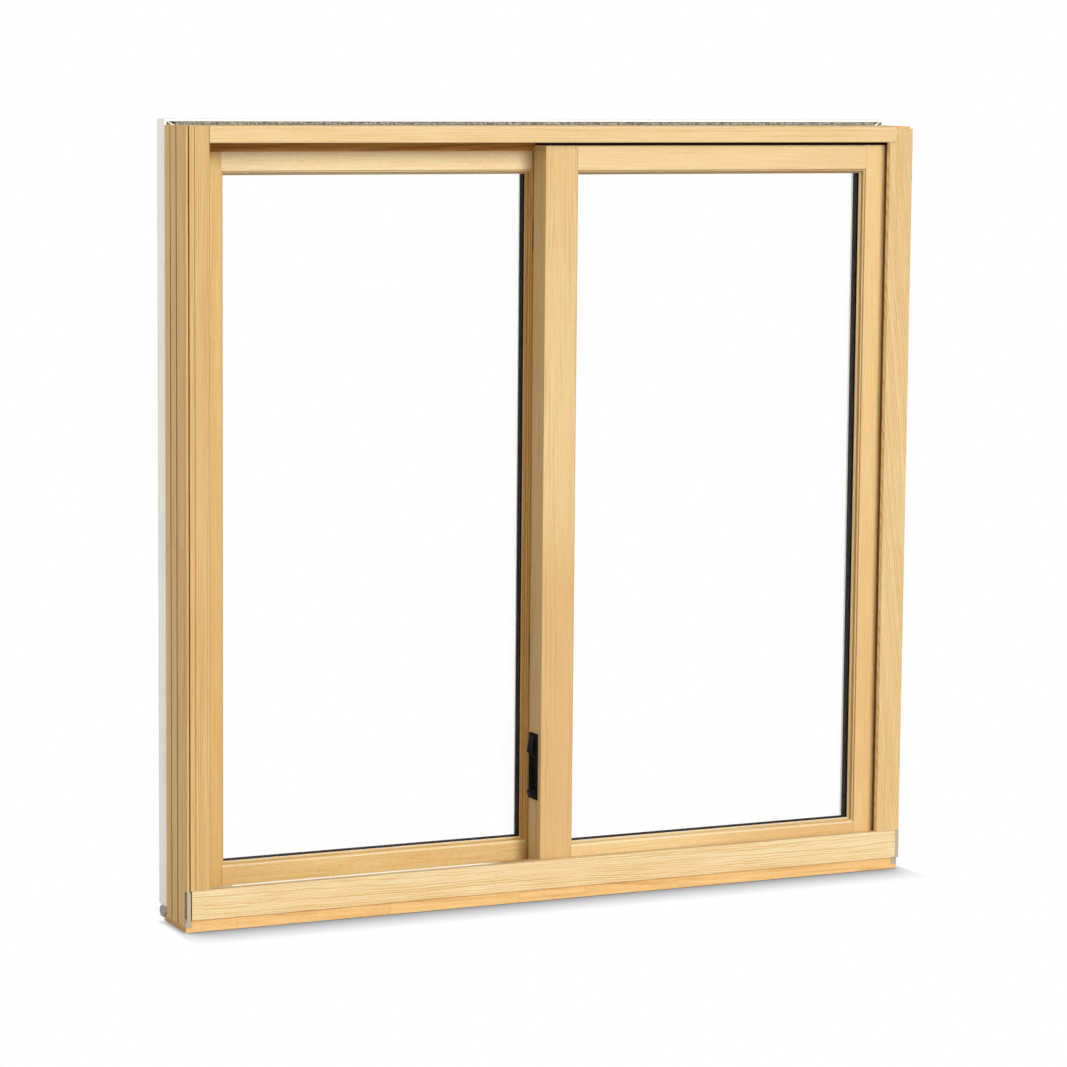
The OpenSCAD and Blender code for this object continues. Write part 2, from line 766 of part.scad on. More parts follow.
// Room for the parting stop, cut from the front of the fixed sash's top
module head_rebate() {
    block([0, fixed_y - past, parting_under - 0.2],
        [frame_width, parting_y + parting_stop_thickness + gap, head_under]);
}

module fixed_meeting_stile() {
    color(pine) placed() difference() {
        stile(fixed, true, 0, 0);
        glass_room(fixed);
        head_rebate();
        for (z = hook_heights) {
            block([keeper_x, fixed_y - past, z - keeper_length / 2],
                [keeper_right, fixed_y + keeper_thickness, z + keeper_length / 2]);
            block([hook_x - 3, fixed_y - past, z - hook_pin_drop - 7.8],
                [hook_x + hook_thickness + 3, fixed_y + 12, z - hook_pin_drop + hook_reach]);
            keeper_holes(z, shank_radius, screw_length);
        }
    }
}

module fixed_top_rail() {
    color(pine) placed() difference() {
        rail(fixed, true);
        glass_room(fixed);
        head_rebate();
    }
}

module fixed_bottom_rail() {
    color(pine) placed() difference() {
        rail(fixed, false);
        glass_room(fixed);
    }
}

module fixed_inner_pane() {
    color(clear_glass) placed() glass_pane(fixed, pane_1);
}

module fixed_outer_pane() {
    color(clear_glass) placed() glass_pane(fixed, pane_2);
}

module fixed_spacer() {
    color(seal_black) placed() glass_bars(fixed, pane_1 + pane, pane_2, 2, 0.5);
}

module fixed_gasket() {
    color(seal_black) placed() glass_bars(fixed, stick_depth, pane_1, 3, 0.2);
}

module fixed_sash_cladding() {
    color(cladding_white) placed() sash_covers(fixed, 0);
}

// Sides of a keeper's mortise, and the sizes of its screws
keeper_x = fixed_x + sash_width - stile_width + 2.4;
keeper_right = hook_x + hook_thickness + 9;
head_radius = 2.2;
shank_radius = 1.2;
screw_length = 14;

// The screw holes of the keeper at height z, to a depth behind the stile's face
module keeper_holes(z, radius, depth) {
    for (s = [-1, 1])
        rod_y([hook_x - 8, fixed_y, z + s * (keeper_length / 2 - keeper_margin - 4.5)], radius, depth);
}

// Keeper, flush in its mortise, with the slot that the hook swings into
module keeper(z) {
    half = keeper_length / 2 - keeper_margin;
    color(zinc) placed() difference() {
        block([keeper_x, fixed_y, z - half], [keeper_right, fixed_y + keeper_thickness, z + half]);
        block([hook_x - 2, 0, z - hook_pin_drop - 5.4],
            [hook_x + hook_thickness + 2, fixed_back, z - hook_pin_drop + hook_reach - 1.5]);
        keeper_holes(z, head_radius, keeper_thickness);
    }
}

module upper_keeper() {
    keeper(hook_heights[1]);
}

module lower_keeper() {
    keeper(hook_heights[0]);
}

module keeper_screws() {
    color(steel) placed() for (z = hook_heights) {
        keeper_holes(z, head_radius, keeper_thickness);
        keeper_holes(z, shank_radius, screw_length);
    }
}

// Sliding sash

module sash_meeting_stile() {
    x = slide_x;
    color(pine) placed() difference() {
        stile(slide, false, 0, edge_lip);
        glass_room(slide);
        block([bar_x - gap, bar_y - gap, lever_top - lever_length],
            [bar_x + bar_thickness + gap, bar_y + bar_width + gap, hook_heights[1] + bar_head_room]);
        for (z = hook_heights)
            block([bar_x - 1, bar_y - 1, z - keeper_length / 2],
                [hook_x + hook_thickness + 1, slide_back + past, z + keeper_length / 2]);
        block([x - past, plate_y + 2, dish_low - 2],
            [x + dish_depth + dish_wall - handle_thickness + gap, plate_y + handle_width - 2,
                dish_high + 2]);
        block([x - past, lever_slot[0] - lug - 0.1, dish_high + 1.9],
            [x + lever_room, lever_slot[1] + lug + 0.1, lever_top - 1.2]);
        block([x, bar_y, lever_top - lever_length], [bar_x, bar_y + bar_width, lever_top - 8]);
        handle_holes(shank_radius, screw_length);
        for (z = hook_heights)
            rod_x([hook_x, hook_pin_y, z - hook_pin_drop], hook_pin_radius, hook_thickness + hook_pin_seat);
    }
}

module sash_pull_stile() {
    color(pine) placed() difference() {
        stile(slide, true, rebate_width, 0);
        glass_room(slide);
    }
}

module sash_top_rail() {
    color(pine) placed() difference() {
        rail(slide, true);
        glass_room(slide);
    }
}

module sash_bottom_rail() {
    color(pine) placed() difference() {
        rail(slide, false);
        glass_room(slide);
        for (x = roller_xs)
            block([x - housing_length / 2, roller_y - housing_width / 2, 0],
                [x + housing_length / 2, roller_y + housing_width / 2, housing_top]);
    }
}

module sash_inner_pane() {
    color(clear_glass) placed() glass_pane(slide, pane_1);
}

module sash_outer_pane() {
    color(clear_glass) placed() glass_pane(slide, pane_2);
}

module sash_spacer() {
    color(seal_black) placed() glass_bars(slide, pane_1 + pane, pane_2, 2, 0.5);
}

// Gasket of the sliding glass, and the seal along the front and the left end of the sash's top
module sash_gasket() {
    seal_width = 3;
    x0 = slide_x + 1;
    y0 = slide_y + 0.6;
    color(seal_black) placed() {
        glass_bars(slide, stick_depth, pane_1, 3, 0.2);
        block([x0, y0, slide_top], [slide_x + sash_width - 1, y0 + seal_width, head_under - gap]);
        block([x0, y0, slide_top], [x0 + seal_width, slide_back - 1, head_under - track_drop - gap]);
    }
}

module sash_cladding() {
    color(cladding_white) placed() difference() {
        sash_covers(slide, edge_lip);
        for (z = hook_heights)
            block([bar_x - 1, slide_back - 12, z - keeper_length / 2],
                [hook_x + hook_thickness + 1, slide_back + past, z + keeper_length / 2]);
    }
}

// Handle, let into the left edge of the sliding sash

plate_y = slide_y + handle_setback;
plate_x = slide_x - handle_thickness;
dish_wall = 1.5;
dish_low = handle_z - handle_length / 2 + lip_height + 3;
dish_high = lever_top - lever_length - 3;
lever_slot = [lever_y - 0.4, lever_y + lever_width + 0.4];

// Screw holes in the floor of the dish, to a depth behind it
module handle_holes(radius, depth) {
    inset = dish_slope + head_radius + 1.5;
    for (z = [dish_low + inset, dish_high - inset])
        rod_x([plate_x + dish_depth, plate_y + handle_width / 2, z], radius, depth);
}

// The dish with its four sloping sides, as two wedges cut across each other
module dish_room() {
    face = plate_x - past;
    floor_x = plate_x + dish_depth;
    k = dish_slope * (1 + past / dish_depth);
    y0 = plate_y + dish_rim;
    y1 = plate_y + handle_width - dish_rim;
    intersection() {
        plate_xz(y0 - past, y1 - y0 + 2 * past) polygon([[face, dish_low + dish_slope - k],
            [floor_x, dish_low + dish_slope], [floor_x, dish_high - dish_slope],
            [face, dish_high - dish_slope + k]]);
        translate([0, 0, dish_low - past]) linear_extrude(dish_high - dish_low + 2 * past)
            polygon([[face, y0 + dish_slope - k], [floor_x, y0 + dish_slope], [floor_x, y1 - dish_slope],
                [face, y1 - dish_slope + k]]);
    }
}

module handle_plate() {
    y1 = plate_y + handle_width;
    z0 = handle_z - handle_length / 2;
    lip_top = z0 + lip_height;
    color(handle_black) placed() difference() {
        union() {
            plate_xz(plate_y, handle_width) polygon([[slide_x, z0], [plate_x + 0.8, z0],
                [plate_x - 0.6, z0 + 1.2], [plate_x - lip_rise, lip_top - 1],
                [plate_x - lip_rise, lip_top - 0.4], [plate_x - 2, lip_top],
                [plate_x, lip_top + 0.6], [plate_x, lever_top - 1], [plate_x + 1, lever_top],
                [slide_x, lever_top]]);
            block([slide_x - 1, plate_y + 2.3, dish_low - 1.7],
                [plate_x + dish_depth + dish_wall, y1 - 2.3, dish_high + 1.7]);
            block([slide_x - 1, lever_slot[0] - lug, lever_pin[1] - 2.6],
                [slide_x + lever_room - 0.4, lever_slot[1] + lug, lever_pin[1] + 2.6]);
        }
        dish_room();
        block([plate_x - past, lever_slot[0], lever_top - lever_length - 0.6],
            [slide_x + lever_room, lever_slot[1], lever_top - 1.6]);
        rod_y([lever_pin[0], lever_slot[0] - lug - past, lever_pin[1]], lever_pin_radius,
            lever_width + 2 * (lug + past) + 1);
        handle_holes(head_radius, dish_wall);
    }
}

module handle_screws() {
    color(steel) placed() {
        handle_holes(head_radius, dish_wall);
        handle_holes(shank_radius, screw_length);
    }
}

// Lock lever: a ramp that hinges at its top and is pressed flush to throw the hooks
module lock_lever() {
    px = lever_pin[0];
    top = lever_pin[1];
    low = lever_top - lever_length;
    tip = plate_x - lever_rise;
    color(handle_black) placed() difference() {
        plate_xz(lever_y, lever_width) polygon([[plate_x + 0.2, lever_top - 2.2],
            [px + 1.6, lever_top - 2.2], [px + 2, top - 2], [plate_x + 1.6, low + 2],
            [plate_x + 1.2, low + 0.4], [plate_x, low], [tip + 0.6, low + 2.8],
            [tip, low + 3.8], [tip + 0.1, low + 5], [plate_x - 0.8, lever_top - 3]]);
        rod_y([px, lever_y - past, top], lever_pin_radius + pin_clearance, lever_width + 2 * past);
    }
}

module lock_pins() {
    color(steel) placed() {
        rod_y([lever_pin[0], lever_slot[0] - lug, lever_pin[1]], lever_pin_radius,
            lever_slot[1] - lever_slot[0] + 2 * lug);
        for (z = hook_heights)
            rod_x([hook_x - pin_end, hook_pin_y, z - hook_pin_drop], hook_pin_radius,
                hook_thickness + pin_end + hook_pin_seat);
    }
}

// Drive bar inside the stile, from the lever to the upper hook
module drive_bar() {
    color(steel) placed() block([bar_x, bar_y, lever_top - lever_length + 6],
        [bar_x + bar_thickness, bar_y + bar_width, hook_heights[1] + 6]);
}

// Hook: a hub on its pin and an arm that stands up in the stile until it is thrown
module hook(z) {
    c = [hook_pin_y, z - hook_pin_drop];
    tip = hook_reach;
    color(zinc) placed() difference() {
        union() {
            rod_x([hook_x, c[0], c[1]], 5, hook_thickness);
            plate_yz(hook_x, hook_thickness) polygon([c + [-4, 0], c + [4, 0], c + [4.4, tip - 7],
                c + [7, tip - 6], c + [7, tip - 2.5], c + [4.5, tip], c + [-2, tip], c + [-4, tip - 3]]);
        }
        rod_x([hook_x - past, c[0], c[1]], hook_pin_radius + pin_clearance, hook_thickness + 2 * past);
    }
}

module upper_hook() {
    hook(hook_heights[1]);
}

module lower_hook() {
    hook(hook_heights[0]);
}

// Rollers of the sliding sash

// A channel of folded sheet round the roller, with an ear on each side for the axle
module roller_housing(x) {
    l = housing_length / 2 - gap;
    w = housing_width / 2 - gap;
    color(zinc) placed() difference() {
        block([x - l, roller_y - w, sash_bottom + 0.4], [x + l, roller_y + w, housing_top - gap]);
        block([x - l - past, roller_y - w + housing_wall, 0],
            [x + l + past, roller_y + w - housing_wall, housing_top - gap - housing_wall]);
        rod_y([x, roller_y - w - past, axle_z], axle_radius, 2 * w + 2 * past);
    }
}

module left_roller_housing() {
    roller_housing(roller_xs[0]);
}

module right_roller_housing() {
    roller_housing(roller_xs[1]);
}

module roller_axles() {
    w = housing_width / 2 - gap;
    color(steel) placed() for (x = roller_xs) rod_y([x, roller_y - w, axle_z], axle_radius, 2 * w);
}

// A wheel with a shallow groove that centres it on the rail
module roller(x) {
    r = roller_radius;
    h = roller_width / 2;
    bore = axle_radius + pin_clearance;
    rim = r + roller_flange;
    color(vinyl_white) placed() translate([x, roller_y, axle_z]) rotate([-90, 0, 0])
        rotate_extrude() polygon([[bore, -h], [rim, -h], [rim, 0.3 - h], [r, 1.1 - h],
            [r, h - 1.1], [rim, h - 0.3], [rim, h], [bore, h]]);
}

module left_roller() {
    roller(roller_xs[0]);
}

module right_roller() {
    roller(roller_xs[1]);
}

// Shoes on the sash's top that run between the legs of the head track
module top_guides() {
    y0 = slide_y + track_inset + track_wall + 0.6;
    y1 = slide_back - track_inset - track_wall - 0.6;
    wall = guide_length / 10;
    top = head_under - track_roof - 0.6;
    color(vinyl_white) placed()
        for (x = [slide_x + guide_inset, slide_x + sash_width - rebate_width - guide_length])
            difference() {
                block([x, y0, slide_top], [x + guide_length, y1, top]);
                block([x + wall, y0 + wall, slide_top + 2],
                    [x + guide_length - wall, y1 - wall, head_under]);
            }
}

// Soft strips on the back of the meeting stile, clear of the keepers they pass over
module interlock_strip() {
    x0 = slide_x + 0.65 * stile_width;
    clear = keeper_length / 2 + 2;
    ends = [sash_bottom + bottom_rail_height / 2, hook_heights[0] - clear, hook_heights[0] + clear,
        hook_heights[1] - clear, hook_heights[1] + clear, parting_under - 4];
    color(seal_black) placed()
        for (i = [0, 2, 4])
            block([x0, slide_back, ends[i]], [x0 + 6, fixed_y - 0.7, ends[i + 1]]);
}

sill_board();
left_jamb();
right_jamb();
head_jamb();
sill_stop();
head_stop();
left_jamb_stop();
right_jamb_stop();
parting_stop();
sill_track();
track_cover();
head_track();
left_end_cap();
right_end_cap();
head_cladding();
left_jamb_cladding();
right_jamb_cladding();
sill_cladding();
left_corner_key();
right_corner_key();
left_corner_gasket();
right_corner_gasket();
head_foam_strip();
travel_stop();
jamb_seals();
fixed_left_stile();
fixed_meeting_stile();
fixed_top_rail();
fixed_bottom_rail();
fixed_inner_pane();
fixed_outer_pane();
fixed_spacer();
fixed_gasket();
fixed_sash_cladding();
upper_keeper();
lower_keeper();
keeper_screws();
sash_meeting_stile();
sash_pull_stile();
sash_top_rail();
sash_bottom_rail();
sash_inner_pane();
sash_outer_pane();
sash_spacer();
sash_gasket();
sash_cladding();
handle_plate();
handle_screws();
left_roller_housing();
right_roller_housing();
roller_axles();
top_guides();
interlock_strip();
lock_pins();
lock_lever();
drive_bar();
upper_hook();
lower_hook();
left_roller();
right_roller();
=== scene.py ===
import math
import bmesh
import bpy
from mathutils import Matrix, Vector


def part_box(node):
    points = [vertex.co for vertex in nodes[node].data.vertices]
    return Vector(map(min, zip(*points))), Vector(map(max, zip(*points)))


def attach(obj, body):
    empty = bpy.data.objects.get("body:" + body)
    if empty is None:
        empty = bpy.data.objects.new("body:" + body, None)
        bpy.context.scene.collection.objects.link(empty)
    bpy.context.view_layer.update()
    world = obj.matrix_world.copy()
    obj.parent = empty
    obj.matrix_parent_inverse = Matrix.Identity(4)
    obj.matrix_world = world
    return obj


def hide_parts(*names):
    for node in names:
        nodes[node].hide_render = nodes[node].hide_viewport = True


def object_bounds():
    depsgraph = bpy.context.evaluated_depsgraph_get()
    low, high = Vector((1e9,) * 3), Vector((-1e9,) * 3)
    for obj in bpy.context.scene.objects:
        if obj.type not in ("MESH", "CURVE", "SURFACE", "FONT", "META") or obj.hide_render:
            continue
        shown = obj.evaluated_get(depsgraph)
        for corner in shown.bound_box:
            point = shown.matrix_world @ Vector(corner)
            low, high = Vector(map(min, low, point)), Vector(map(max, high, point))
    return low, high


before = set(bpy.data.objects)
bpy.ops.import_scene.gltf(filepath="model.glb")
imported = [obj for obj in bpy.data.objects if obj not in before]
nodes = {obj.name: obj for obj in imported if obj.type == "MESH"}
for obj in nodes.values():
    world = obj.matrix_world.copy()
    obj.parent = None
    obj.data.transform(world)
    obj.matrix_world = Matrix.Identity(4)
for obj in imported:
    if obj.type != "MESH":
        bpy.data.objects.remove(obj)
cad_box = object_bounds()

# Lengths are in millimetres unless a line says otherwise, and MM turns them into metres
MM = 0.001

# How far the quirks of a sash's moulding, darkened with painted shade, and the edges of its bead, lightened
# with painted highlight, lie from the board's side at the glass
SHADED_QUIRKS = (5.6, 3.2, 1.1)
HIGHLIGHT_EDGES = (0.8, 6.1)

# Colours that the boards share
RESIN = "d98f45"
QUIRK_SHADE_BROWN = "804200"
HIGHLIGHT_CREAM = "fff1d6"
SIDE_SHADE_BROWN = "9b6c22"
END_GRAIN = "9a6b33"
AGED = "c08c44"

# Camera, solved on the photograph's long edges. The photograph is 1067 pixels square, the focal
# length is in its pixels and the angles are in degrees.
PHOTO = 1067
FOCAL = 3858
YAW, PITCH, ROLL = 25.0, 7.02, 0.51
VIEWPOINT = (-2498.9, -5320.3, 1284.6)

# Each lamp's strength, its softness in degrees and where its light comes from
LAMPS = {
    "key": (2.3, 24, (0.38, -1.0, 0.36)),
    "fill": (1.27, 40, (-1.0, -0.3, 0.1)),
}


def rgb(code):
    """A colour written as six hexadecimal digits, in the linear values that nodes take."""
    parts = [int(code[i:i + 2], 16) / 255 for i in (0, 2, 4)]
    linear = [p / 12.92 if p <= 0.04045 else ((p + 0.055) / 1.055) ** 2.4 for p in parts]
    return (*linear, 1.0)


class Value:
    """A number in a material's nodes. Python arithmetic on it adds Math nodes."""

    def __init__(self, finish, socket):
        self.finish = finish
        self.socket = socket

    def math(self, operation, *others):
        return self.finish.math(operation, self, *others)

    def __add__(self, other):
        return self.math("ADD", other)

    def __radd__(self, other):
        return self.math("ADD", other)

    def __sub__(self, other):
        return self.math("SUBTRACT", other)

    def __rsub__(self, other):
        return self.finish.math("SUBTRACT", other, self)

    def __mul__(self, other):
        return self.math("MULTIPLY", other)

    def __truediv__(self, other):
        return self.math("DIVIDE", other)

    def __pow__(self, other):
        return self.math("POWER", other)

    def between(self, low, high):
        """0 below low and 1 above high, with a smooth step between them; high may be the lower one."""
        first, last = (low, high) if low < high else (high, low)
        step = self.finish.node("ShaderNodeMapRange", {"interpolation_type": "SMOOTHSTEP"},
                                {"Value": self, "From Min": first, "From Max": last})
        result = Value(self.finish, step.outputs["Result"])
        return result if low < high else 1 - result

    def near(self, place, core, rim):
        """1 within core of a place and 0 beyond rim, with a smooth step between them."""
        return (self - place * MM).math("ABSOLUTE").between(rim * MM, core * MM)


class Graph:
    """A node tree under construction."""

    def __init__(self, tree):
        self.tree = tree
        tree.nodes.clear()

    def node(self, kind, settings=None, sockets=None):
        """Adds one node: its settings first, then a value or a link for each socket named."""
        node = self.tree.nodes.new(kind)
        for key, value in (settings or {}).items():
            setattr(node, key, value)
        for key, value in (sockets or {}).items():
            socket = node.inputs[key]
            if isinstance(value, Value):
                value = value.socket
            if isinstance(value, bpy.types.NodeSocket):
                self.tree.links.new(value, socket)
            else:
                socket.default_value = value
        return node

    def math(self, operation, *terms):
        node = self.node("ShaderNodeMath", {"operation": operation}, dict(enumerate(terms)))
        return Value(self, node.outputs[0])

    def combine(self, x, y, z):
        return self.node("ShaderNodeCombineXYZ", None, {0: x, 1: y, 2: z}).outputs[0]


class Finish(Graph):
    """A material under construction."""

    def __init__(self, name):
        self.material = bpy.data.materials.new(name)
        self.material.use_nodes = True
        super().__init__(self.material.node_tree)

    def coordinates(self, kind):
        """The three parts of one kind of texture coordinate."""
        source = self.node("ShaderNodeTexCoord")
        split = self.node("ShaderNodeSeparateXYZ", None, {0: source.outputs[kind]})
        return [Value(self, split.outputs[axis]) for axis in "XYZ"]

    def place(self):
        """The point on the object, as three numbers in metres."""
        return self.coordinates("Object")

    def noise(self, x, y, z, detail=2.0, roughness=0.5):
        """Noise at a point counted in cells: places in metres, times the cells per metre."""
        noise = self.node("ShaderNodeTexNoise", {"noise_dimensions": "3D"},
                          {"Vector": self.combine(x, y, z), "Scale": 1.0, "Detail": detail,
                           "Roughness": roughness})
        return Value(self, noise.outputs["Fac"])

    def even_noise(self, cells, detail=2.0):
        """Noise with the same number of cells per metre in every direction."""
        x, y, z = self.place()
        return self.noise(x * cells, y * cells, z * cells, detail)

    def mix(self, amount, first, second):
        node = self.node("ShaderNodeMix", {"data_type": "RGBA"}, {0: amount, 6: first, 7: second})
        return node.outputs[2]

    def bump(self, height, distance, strength):
        """Fine relief. distance is its depth."""
        node = self.node("ShaderNodeBump", None,
                         {"Height": height, "Distance": distance * MM, "Strength": strength})
        return node.outputs["Normal"]

    def surface(self, **sockets):
        """Ends the material in one Principled shader."""
        named = {key.replace("_", " "): value for key, value in sockets.items()}
        self.output(self.node("ShaderNodeBsdfPrincipled", None, named).outputs[0])

    def output(self, socket):
        self.node("ShaderNodeOutputMaterial", None, {"Surface": socket})


def bands(value, places, core, rim):
    """1 near each of some places and 0 away from them."""
    total = 0
    for place in places:
        total = value.near(place, core, rim) + total
    return total


def growth_rings(finish, across, y, along, own, heart, rise, lean, waves, ring_gap, broken):
    """How dark the growth rings are. They lie round the heart line and wander about it."""
    drift = finish.noise(across * 9 + own, y * 9, along * 1.6, 2.0) - 0.5
    swing = finish.noise(across * 30, y * 30, along * 28 + own, 2.0) - 0.5
    wobble = finish.noise(across * 70, y * 70 + own, along * 7, 3.0, 0.6) - 0.5
    u = across - heart[0] * MM + along * lean + drift * (26 * MM) + swing * (waves * MM)
    v = y - heart[1] * MM + along * rise + drift * (14 * MM)
    radius = (u * u + v * v) ** 0.5
    phase = (radius + wobble * (4 * MM)) / (ring_gap * MM)
    saw = phase.math("FRACT")
    late_wood = saw.between(0.3, 0.85) * saw.between(1.0, 0.88)
    year = finish.noise(phase.math("FLOOR") * 3.7, own, along * 1.5, 1.0).between(0.3, 0.7)
    fade = finish.noise(across * 45 + own, y * 45, along * 6, 1.0).between(0.4, 0.66)
    return late_wood * (year * 1.2 + 0.15) * (fade * broken + (1 - broken))


def pine(name, grain, seed, light, dark, ring_gap=3.4, heart=(90, 60), rise=0.004, lean=0.0, contrast=0.3,
         streaks=0.25, waves=0.0, broken=0.5, side=0.0, joints=(), lines=(), grooves=(), edges=(), turn=None):
    """Clear finished pine.

    grain is the axis the fibres run along. heart is the place, across the board and in depth, of
    the line that the growth rings lie round. For each unit along the fibres that line drifts by
    lean across and by rise in depth. waves is how far the rings swing, broken how much they fade
    in and out, and side how much browner the board's narrow sides are, a painted shade. joints are
    the places of finger joints along the board, lines those of quirks across it darkened with
    painted shade, edges those of edges across it lightened with painted highlight, and grooves
    those of grooves in depth darkened with painted shade. turn is a place along the board, half the
    length over which the wood turns darker and warmer, and by how much. Its length is negative where
    the darker wood is below the place or to its left.
    """
    finish = Finish(name)
    x, y, z = finish.place()
    along, across = (z, x) if grain == "z" else (x, z)

    # Beyond each finger joint the board goes on with another piece of wood
    length = 0
    seam = 0
    for place in joints:
        finger = (across / (6 * MM)).math("PINGPONG", 0.5) * (4 * MM)
        beyond = along - place * MM + finger
        length = beyond.math("GREATER_THAN", 0.0) + length
        seam = beyond.near(0, 0.2, 0.6) + seam
    own = length * 5.3 + seed

    # The rings, the fibres and the smaller marks, all drawn out along the board
    ring = growth_rings(finish, across, y, along, own, heart, rise, lean, waves, ring_gap, broken)
    fibre = finish.noise(across * 800, y * 800 + own, along * 12, 3.0, 0.65) - 0.5
    cloud = finish.noise(across * 16 + own, y * 16, along * 3, 4.0, 0.6) - 0.5
    speck = finish.noise(across * 520, y * 520 + own, along * 420, 2.0, 0.7) - 0.5
    streak = finish.noise(across * 170 + own, y * 170, along * 2.2, 3.0).between(0.56, 0.78)
    pore = finish.noise(across * 1300 + own, y * 1300, along * 80, 1.0).between(0.66, 0.78)

    # How much each of these darkens the wood
    depth = ring * (contrast * 1.8) + cloud * 0.8 + fibre * 1.4 + speck * 1.2
    depth = depth + streak * streaks + pore * 0.3 + seam * 0.5 + 0.3
    depth = depth.math("MAXIMUM", 0.0).math("MINIMUM", 1.3)
    colour = finish.mix(depth, rgb(light), finish.mix(streak * 0.4, rgb(dark), rgb(RESIN)))

    # What lies at set places: the darker wood, painted shade in quirks and grooves, painted highlight on
    # edges, painted shade on narrow sides, and end grain
    turned = [part.math("ABSOLUTE").between(0.8, 0.95) for part in finish.coordinates("Normal")]
    facing = dict(zip("xyz", turned))
    narrow = facing["x" if grain == "z" else "z"]
    if turn:
        place, reach, amount = turn
        later = (along + cloud * (120 * MM)).between((place - reach) * MM, (place + reach) * MM)
        aged = finish.mix(0.5, rgb(dark), rgb(AGED))
        colour = finish.mix(later * amount * (1 - narrow), colour, aged)
    # Painted shade: thin brown bands darken the quirks and grooves, where shade falls in them
    if lines or grooves:
        quirk_shade = bands(across, lines, 0.2, 0.7) + bands(y, grooves, 1.4, 2.4)
        colour = finish.mix(quirk_shade.math("MINIMUM", 1.0) * 0.55, colour, rgb(QUIRK_SHADE_BROWN))
    # Painted highlight: thin cream bands lighten the edges of a bottom rail's bead
    if edges:
        colour = finish.mix(bands(across, edges, 0.4, 1.2) * 0.6, colour, rgb(HIGHLIGHT_CREAM))
    # Painted shade: the narrow sides that face across the board turn browner
    if side:
        colour = finish.mix(narrow * side, colour, rgb(SIDE_SHADE_BROWN))
    colour = finish.mix(facing[grain] * 0.55, colour, rgb(END_GRAIN))
    finish.surface(Base_Color=colour, Roughness=fibre * 0.12 - ring * 0.04 + 0.56, IOR=1.38,
                   Normal=finish.bump(fibre * 0.6 + ring * 0.4, 0.1, 0.3))
    return finish.material


def dress(material, *names):
    """Gives CAD nodes their finish."""
    for name in names:
        slots = nodes[name].data.materials
        slots.clear()
        slots.append(material)


def plain(name, colour, roughness, grain=0.0, metallic=0.0, shine=1.45, lines=(), fade=None):
    """Moulded or extruded plastic, rubber or metal, with a fine texture and slight colour drift.

    grain is the texture's strength and shine the index of refraction. lines are the depths of the
    faint lines that an extrusion's die leaves. fade is a place along the window and the darker colour
    that the piece takes to the right of it, a painted shade.
    """
    finish = Finish(name)
    x, y = finish.place()[:2]
    fine = finish.even_noise(400) - 0.5
    broad = finish.even_noise(7, 3.0) - 0.5
    shade = finish.node("ShaderNodeHueSaturation", None,
                        {"Value": broad * 0.1 + fine * 0.05 + 1, "Color": rgb(colour)})
    tone = shade.outputs[0]
    if lines:
        tone = finish.mix(bands(y, lines, 0.4, 1.2) * 0.35, tone, rgb("a8a598"))
    if fade:
        place, beyond = fade
        tone = finish.mix(x.between((place - 25) * MM, (place + 25) * MM), tone, rgb(beyond))
    finish.surface(Base_Color=tone, Roughness=fine * 0.2 + broad * 0.1 + roughness, Metallic=metallic,
                   IOR=shine, Normal=finish.bump(fine + 0.5, 0.1, grain))
    return finish.material


def clear_glass():
    """Float glass that lets light through to what is behind it."""
    finish = Finish("clear_glass")
    pane = finish.node("ShaderNodeBsdfPrincipled", None,
                       {"Base Color": rgb("ffffff"), "Roughness": 0.0, "IOR": 1.2,
                        "Transmission Weight": 1.0})
    through = finish.node("ShaderNodeBsdfTransparent")
    path = finish.node("ShaderNodeLightPath")
    pick = finish.node("ShaderNodeMixShader", None,
                       {0: path.outputs["Is Shadow Ray"], 1: pane.outputs[0], 2: through.outputs[0]})
    finish.output(pick.outputs[0])
    return finish.material


def speckled_foam():
    """Grey closed-cell foam with pale and dark cells."""
    finish = Finish("speckled_foam")
    x, y, z = finish.place()
    cells = finish.node("ShaderNodeTexVoronoi", None,
                        {"Vector": finish.combine(x * 640, y * 600, z * 600), "Scale": 1.0})
    cell = finish.node("ShaderNodeSeparateColor", None, {0: cells.outputs["Color"]})
    pick = Value(finish, cell.outputs[0]).between(0.1, 0.9)
    edge = Value(finish, cells.outputs["Distance"])
    finish.surface(Base_Color=finish.mix(pick, rgb("5c5c57"), rgb("bfbfb9")), Roughness=0.9,
                   Normal=finish.bump(1 - edge, 0.6, 0.8))
    return finish.material


def sash_cover(name, stile):
    """Off-white sash cladding; the part of its bead that meets the glass is dark sealant."""
    finish = Finish(name)
    y = finish.place()[1]
    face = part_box(stile)[0][1]
    sealed = y.between(face + 33 * MM, face + 32 * MM)
    white = finish.mix(finish.even_noise(7, 3.0) * 0.6, rgb("faf9f1"), rgb("e4e2d8"))
    finish.surface(Base_Color=finish.mix(sealed, white, rgb("24211b")), Roughness=0.5)
    return finish.material


